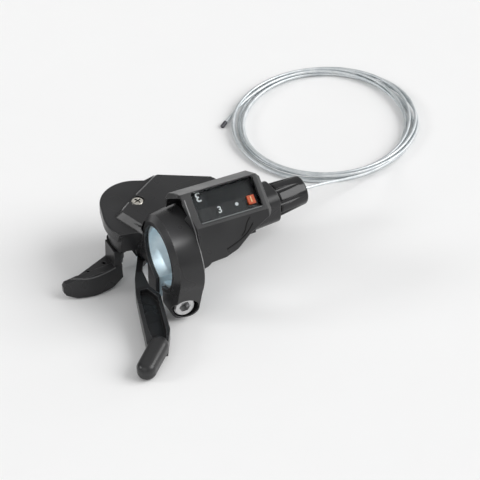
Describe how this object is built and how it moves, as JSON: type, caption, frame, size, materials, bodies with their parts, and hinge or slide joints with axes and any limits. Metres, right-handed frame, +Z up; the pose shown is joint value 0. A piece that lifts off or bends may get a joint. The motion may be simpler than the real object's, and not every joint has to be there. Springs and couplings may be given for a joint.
{
  "type": "trigger gear shifter",
  "caption": "Trigger gear shifter for a bicycle handlebar: split clamp, round ratchet case, thumb levers, gear window and barrel adjuster, its inner cable coiled beside it.",
  "frame": {"origin": "centre of the handlebar bore, in the middle of the clamp band", "axes": "+X along the bar towards the cable exit, +Y towards the round mechanism case, +Z up with the part lying on a table"},
  "size_m": [0.1736, 0.148, 0.0505],
  "materials": {
    "black_plastic": "fine satin moulding",
    "lever_plastic": "satin, worn smooth at the thumb",
    "knob_plastic": "gloss flutes",
    "zinc_steel": "bright zinc",
    "bolt_steel": "plated",
    "screw_steel": "plated, slightly warm",
    "hard_steel": "hardened, ground",
    "spring_steel": "oiled",
    "spool_plastic": "self-coloured moulding",
    "clear_lens": "clear moulding",
    "dial_plastic": "printed",
    "pointer_plastic": "bright orange",
    "cable_steel": "stranded wire",
    "nipple_metal": "die cast",
    "tip_metal": "crimped cap"
  },
  "bodies": {
    "shifter_body": {"clamp_body": "black_plastic", "clamp_band": "zinc_steel", "clamp_bolt": "bolt_steel", "clamp_nut": "zinc_steel", "top_cover": "black_plastic", "cover_screw": "screw_steel", "base_plate": "zinc_steel", "base_screws": "bolt_steel", "spindle": "hard_steel", "spindle_washer": "zinc_steel", "spindle_nut": "zinc_steel", "spool_spring": "spring_steel", "lever_spring": "spring_steel", "release_pin": "hard_steel", "release_spring": "spring_steel", "hold_pawl_pin": "hard_steel", "hold_pawl_spring": "spring_steel", "indicator_housing": "black_plastic", "indicator_lens": "clear_lens", "indicator_dial": "dial_plastic", "cable_inside": "cable_steel", "cable_lead": "cable_steel", "cable_tail": "cable_steel", "cable_coil": "cable_steel", "cable_tip": "tip_metal"},
    "main_lever": {"main_lever": "lever_plastic", "drive_pawl_pin": "hard_steel", "drive_pawl_spring": "spring_steel"},
    "drive_pawl": {"drive_pawl": "hard_steel"},
    "release_lever": {"release_lever": "lever_plastic", "release_peg": "hard_steel"},
    "hold_pawl": {"hold_pawl": "hard_steel"},
    "cable_spool": {"cable_spool": "spool_plastic", "cable_nipple": "nipple_metal"},
    "indicator_pointer": {"indicator_pointer": "pointer_plastic"},
    "barrel_adjuster": {"barrel_adjuster": "knob_plastic"}
  },
  "joints": [
    {"name": "main_lever_turn", "type": "hinge", "parent": "shifter_body", "child": "main_lever", "pos_m": [0.0033, 0.0231, 0], "axis": [0, 0, 1], "range_deg": [-22, 0], "stiffness_Nm_per_rad": 0.2},
    {"name": "drive_pawl_lift", "type": "hinge", "parent": "main_lever", "child": "drive_pawl", "pos_m": [0.00101, 0.0361, 0], "axis": [0, 0, 1], "range_deg": [0, 8], "stiffness_Nm_per_rad": 0.002},
    {"name": "release_lever_turn", "type": "hinge", "parent": "shifter_body", "child": "release_lever", "pos_m": [-0.01071, 0.0272, 0], "axis": [0, 0, 1], "range_deg": [-16, 0], "stiffness_Nm_per_rad": 0.1},
    {"name": "hold_pawl_lift", "type": "hinge", "parent": "shifter_body", "child": "hold_pawl", "pos_m": [-0.00951, 0.01991, 0], "axis": [0, 0, 1], "range_deg": [0, 8], "stiffness_Nm_per_rad": 0.002},
    {"name": "cable_spool_turn", "type": "hinge", "parent": "shifter_body", "child": "cable_spool", "pos_m": [0.0033, 0.0231, 0], "axis": [0, 0, 1], "range_deg": [-44, 0], "stiffness_Nm_per_rad": 0.05},
    {"name": "indicator_pointer_slide", "type": "slide", "parent": "shifter_body", "child": "indicator_pointer", "axis": [1, 0, 0], "range_m": [-0.01256, 0]},
    {"name": "barrel_adjuster_turn", "type": "hinge", "parent": "shifter_body", "child": "barrel_adjuster", "pos_m": [0.00424, 0.01485, -0.007], "axis": [0.9936, 0.1132, 0], "continuous": true}
  ],
  "couplings": [
    {"joint": "hold_pawl_lift", "follows": "release_lever_turn", "ratio": -0.5},
    {"joint": "indicator_pointer_slide", "follows": "cable_spool_turn", "m_per_rad": 0.016355}
  ]
}
